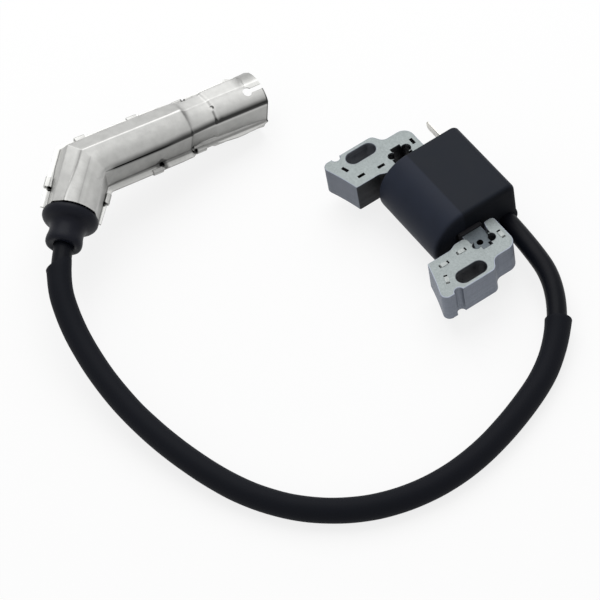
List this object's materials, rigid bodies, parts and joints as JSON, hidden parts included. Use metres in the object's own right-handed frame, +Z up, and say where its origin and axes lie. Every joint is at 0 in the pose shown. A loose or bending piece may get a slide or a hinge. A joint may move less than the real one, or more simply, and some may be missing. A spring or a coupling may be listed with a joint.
{
  "type": "ignition coil",
  "caption": "Ignition coil for a small engine: potted coil between two slotted pole legs, with a sleeved high-tension lead to a bent, metal-shielded plug boot.",
  "frame": {"origin": "on the ground under the middle of the coil unit, measured without the lead and boot", "axes": "+Z up, the core bar along X, the pole faces and flywheel towards -Y, the lead leaves towards +X"},
  "size_m": [0.1932, 0.1576, 0.0369],
  "materials": {
    "leg_steel": "satin grey laminated steel",
    "bar_steel": "satin grey laminated steel",
    "case_plastic": "matte moulded nylon",
    "potting": "glossy cast epoxy",
    "bobbin_plastic": "matte moulded nylon",
    "copper": "enamelled copper wire",
    "board": "glass-epoxy laminate",
    "component": "moulded epoxy",
    "resistor_body": "lacquered",
    "tinned": "tinned strip",
    "brass": "bright brass",
    "lead_rubber": "satin black",
    "sleeve_rubber": "satin black",
    "boot_rubber": "satin black",
    "shield_plate": "bright tinplate"
  },
  "bodies": {
    "root": {"near_leg": "leg_steel", "far_leg": "leg_steel", "centre_bar": "bar_steel", "coil_housing": "case_plastic", "potting_resin": "potting", "primary_bobbin": "bobbin_plastic", "primary_winding": "copper", "secondary_bobbin": "bobbin_plastic", "secondary_winding": "copper", "circuit_board": "board", "switching_transistor": "component", "control_chip": "component", "resistors": "resistor_body", "timing_capacitor": "component", "suppression_diode": "component", "stop_terminal": "tinned", "ground_strap": "tinned", "output_spike": "brass", "lead_insulation": "lead_rubber", "lead_conductor": "copper", "lead_sleeve": "sleeve_rubber"},
    "boot": {"rubber_boot": "boot_rubber", "shield_top": "shield_plate", "shield_bottom": "shield_plate", "plug_terminal": "brass", "terminal_clip": "tinned"}
  },
  "joints": [
    {"name": "boot_swivel", "type": "hinge", "parent": "root", "child": "boot", "pos_m": [-0.06385, -0.11521, 0.02182], "axis": [0.6945, -0.7095, -0.1199], "range_deg": [0, 180]}
  ]
}
